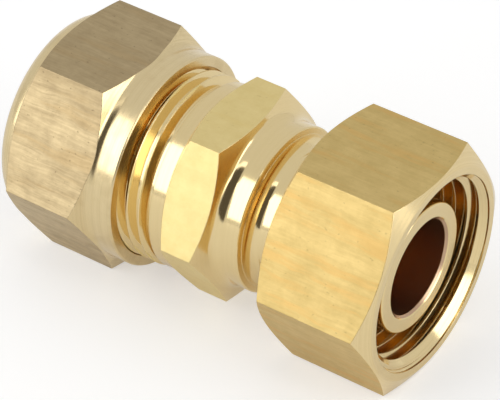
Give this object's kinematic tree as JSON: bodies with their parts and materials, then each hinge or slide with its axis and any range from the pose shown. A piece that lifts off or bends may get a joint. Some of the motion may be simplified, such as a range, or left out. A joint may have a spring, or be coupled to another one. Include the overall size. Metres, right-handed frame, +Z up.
{
  "type": "compression fitting",
  "caption": "Straight brass compression fitting joining a 22 mm pipe to a G3/4 male thread through a loose union nut.",
  "frame": {"origin": "on the pipe axis, halfway along the fitting", "axes": "+X along the pipe axis towards the union nut's mouth, +Z up, the two nuts' flats within 1.4 degrees of level and the body's hexagon turned 3.0 degrees"},
  "size_m": [0.059, 0.0346, 0.0304],
  "materials": {
    "turned_brass": "turned, bright",
    "union_brass": "drawn, satin",
    "dull_brass": "drawn, tarnished",
    "olive_brass": "turned",
    "spring_wire": "drawn wire",
    "rubber": "matte"
  },
  "bodies": {
    "body": {"body": "turned_brass", "seal_ring": "rubber"},
    "olive": {"compression_ring": "olive_brass"},
    "compression_nut": {"compression_nut": "dull_brass"},
    "retaining_ring": {"retaining_ring": "spring_wire"},
    "union_nut": {"union_nut": "union_brass"}
  },
  "joints": [
    {"name": "olive_slide", "type": "slide", "parent": "body", "child": "olive", "axis": [1, 0, 0], "range_m": [-0.0073, 0.00028]},
    {"name": "nut_turn", "type": "hinge", "parent": "olive", "child": "compression_nut", "pos_m": [-0.02, 0, 0], "axis": [1, 0, 0], "range_deg": [-1440, 54]},
    {"name": "ring_turn", "type": "hinge", "parent": "body", "child": "retaining_ring", "pos_m": [0.0176, 0, 0], "axis": [1, 0, 0], "continuous": true},
    {"name": "union_slide", "type": "slide", "parent": "retaining_ring", "child": "union_nut", "axis": [1, 0, 0], "range_m": [-0.0053, 0.00024]}
  ],
  "couplings": [
    {"joint": "olive_slide", "follows": "nut_turn", "m_per_rad": 0.00028875}
  ]
}
